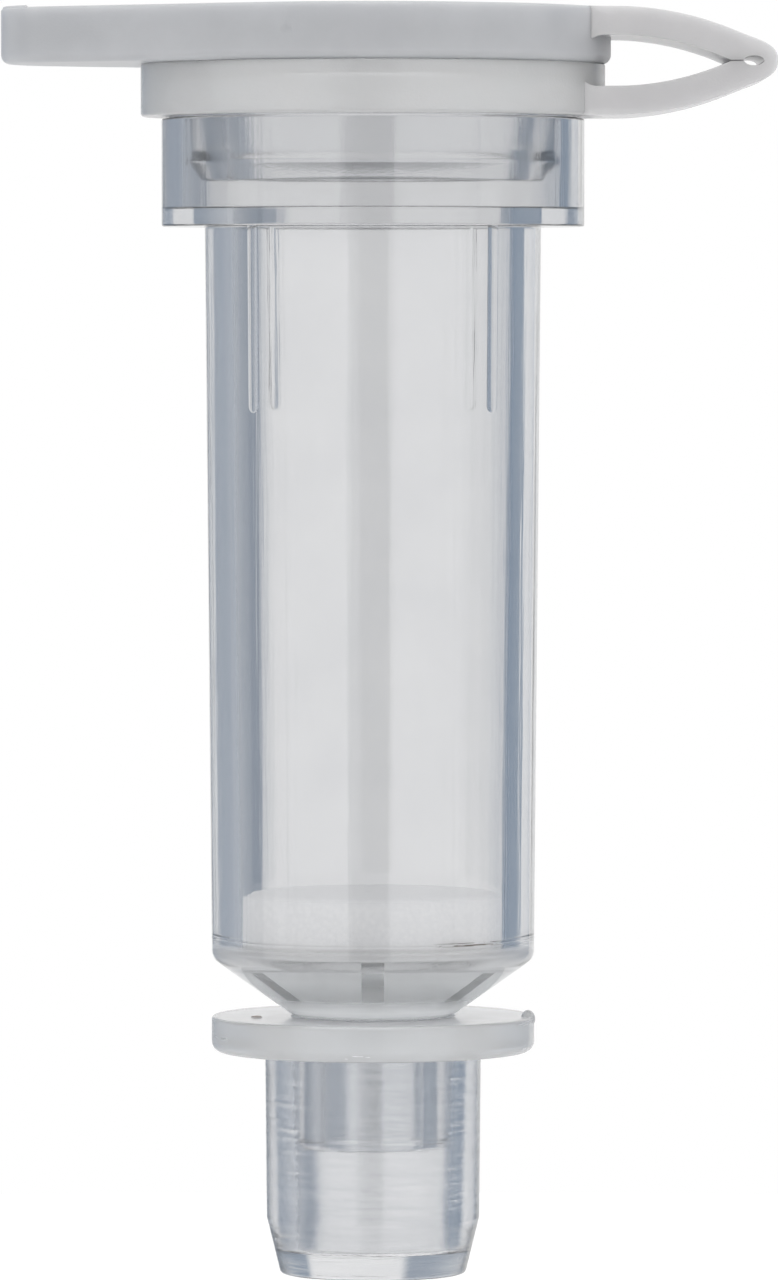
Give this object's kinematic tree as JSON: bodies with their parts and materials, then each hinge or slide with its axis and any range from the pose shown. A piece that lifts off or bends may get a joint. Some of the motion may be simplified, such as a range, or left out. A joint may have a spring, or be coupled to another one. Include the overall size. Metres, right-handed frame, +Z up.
{
  "type": "microcentrifuge spin column",
  "caption": "Clear plastic spin column with a collar, a white frit on a ribbed funnel, a tethered frosted snap cap on a living hinge, and a flanged push-on outlet plug.",
  "frame": {"origin": "centre of the flat end of the outlet plug, which the column stands on", "axes": "+Z up along the column's axis, +X towards the cap's living hinge, +Y across the strap"},
  "size_m": [0.0202, 0.0124, 0.0331],
  "materials": {
    "clear_polypropylene": "gloss",
    "porous_polyethylene": "matte",
    "frosted_polyethylene": "satin",
    "clear_polyethylene": "satin"
  },
  "bodies": {
    "column": {"column_body": "clear_polypropylene", "frit": "porous_polyethylene"},
    "cap_ring": {"tether_ring": "frosted_polyethylene", "strap_lower": "frosted_polyethylene", "hinge_web": "frosted_polyethylene"},
    "cap_lid": {"lid": "frosted_polyethylene", "strap_upper": "frosted_polyethylene"},
    "end_plug": {"outlet_plug": "clear_polyethylene"}
  },
  "joints": [
    {"name": "ring_swivel", "type": "hinge", "parent": "column", "child": "cap_ring", "pos_m": [0, 0, 0.0303], "axis": [0, 0, 1], "continuous": true},
    {"name": "lid_hinge", "type": "hinge", "parent": "cap_ring", "child": "cap_lid", "pos_m": [0.00987, 0, 0.03171], "axis": [0, 1, 0], "range_deg": [0, 180], "deforming": ["hinge_web"]},
    {"name": "plug_pull", "type": "slide", "parent": "column", "child": "end_plug", "axis": [0, 0, -1], "range_m": [0, 0.012]}
  ]
}
